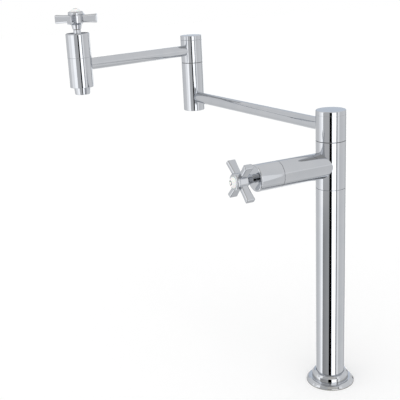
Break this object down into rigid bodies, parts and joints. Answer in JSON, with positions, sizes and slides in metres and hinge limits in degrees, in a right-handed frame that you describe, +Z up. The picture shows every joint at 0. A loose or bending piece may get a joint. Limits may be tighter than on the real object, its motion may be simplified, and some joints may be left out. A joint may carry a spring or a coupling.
{
  "type": "deck mounted pot filler",
  "caption": "Tall post pot filler with two swivelling arms, a side shut-off valve and a second valve above the spout, each turned by a cross handle.",
  "frame": {"origin": "centre of the inlet thread's mouth, on the deck under the post", "axes": "+Z up along the post, -Y out along the side valve, the lower arm towards -X at rest"},
  "size_m": [0.3491, 0.2576, 0.4658],
  "materials": {
    "chrome_plate": "polished chromium plate on brass",
    "brass": "machined brass",
    "nitrile_rubber": "matt black rubber",
    "acetal": "dark grey acetal bearing washer",
    "alumina": "lapped alumina ceramic",
    "porcelain": "glossy white porcelain",
    "dark_glaze": "glossy dark grey glaze",
    "spring_steel": "stainless steel",
    "aerator_plastic": "moulded light grey plastic"
  },
  "bodies": {
    "post": {"deck_flange": "chrome_plate", "deck_gasket": "nitrile_rubber", "threaded_foot": "brass", "post_tube": "chrome_plate", "valve_tee": "chrome_plate", "tee_oring": "nitrile_rubber", "valve_branch": "chrome_plate", "post_spindle": "brass", "post_spindle_orings": "nitrile_rubber", "post_thrust_washer": "acetal", "post_retaining_ring": "spring_steel", "front_valve_sleeve": "chrome_plate", "front_cartridge_body": "brass", "front_seat_seal": "nitrile_rubber", "front_fixed_disc": "alumina", "front_stem_collar": "chrome_plate"},
    "front_handle": {"front_moving_disc": "alumina", "front_stem": "brass", "front_stem_orings": "nitrile_rubber", "front_cross_handle": "chrome_plate", "front_handle_screw": "spring_steel", "front_index_cap": "chrome_plate", "front_index_button": "porcelain", "front_index_mark": "dark_glaze"},
    "lower_arm": {"post_bearing_washer": "acetal", "post_swivel_housing": "chrome_plate", "post_cap": "chrome_plate", "lower_arm_tube": "chrome_plate", "elbow_lower_housing": "chrome_plate", "elbow_spindle": "brass", "elbow_spindle_orings": "nitrile_rubber", "elbow_thrust_washer": "acetal", "elbow_retaining_ring": "spring_steel"},
    "upper_arm": {"elbow_bearing_washer": "acetal", "elbow_upper_housing": "chrome_plate", "elbow_cap": "chrome_plate", "upper_arm_tube": "chrome_plate", "spout_body": "chrome_plate", "aerator_housing": "chrome_plate", "aerator_insert": "aerator_plastic", "aerator_washer": "nitrile_rubber", "spout_valve_sleeve": "chrome_plate", "spout_cartridge_body": "brass", "spout_seat_seal": "nitrile_rubber", "spout_fixed_disc": "alumina", "spout_stem_collar": "chrome_plate"},
    "spout_handle": {"spout_moving_disc": "alumina", "spout_stem": "brass", "spout_stem_orings": "nitrile_rubber", "spout_cross_handle": "chrome_plate", "spout_handle_screw": "spring_steel", "spout_index_cap": "chrome_plate", "spout_index_button": "porcelain", "spout_index_mark": "dark_glaze"}
  },
  "joints": [
    {"name": "post_swivel", "type": "hinge", "parent": "post", "child": "lower_arm", "pos_m": [0, 0, 0.3103], "axis": [0, 0, 1], "continuous": true},
    {"name": "elbow_swivel", "type": "hinge", "parent": "lower_arm", "child": "upper_arm", "pos_m": [-0.30418, -0.0194, 0.3764], "axis": [0, 0, 1], "continuous": true},
    {"name": "front_valve_turn", "type": "hinge", "parent": "post", "child": "front_handle", "pos_m": [0, -0.1046, 0.2819], "axis": [0, -1, 0], "range_deg": [0, 90]},
    {"name": "spout_valve_turn", "type": "hinge", "parent": "upper_arm", "child": "spout_handle", "pos_m": [-0.26003, -0.20472, 0.4348], "axis": [0, 0, 1], "range_deg": [0, 90]}
  ]
}
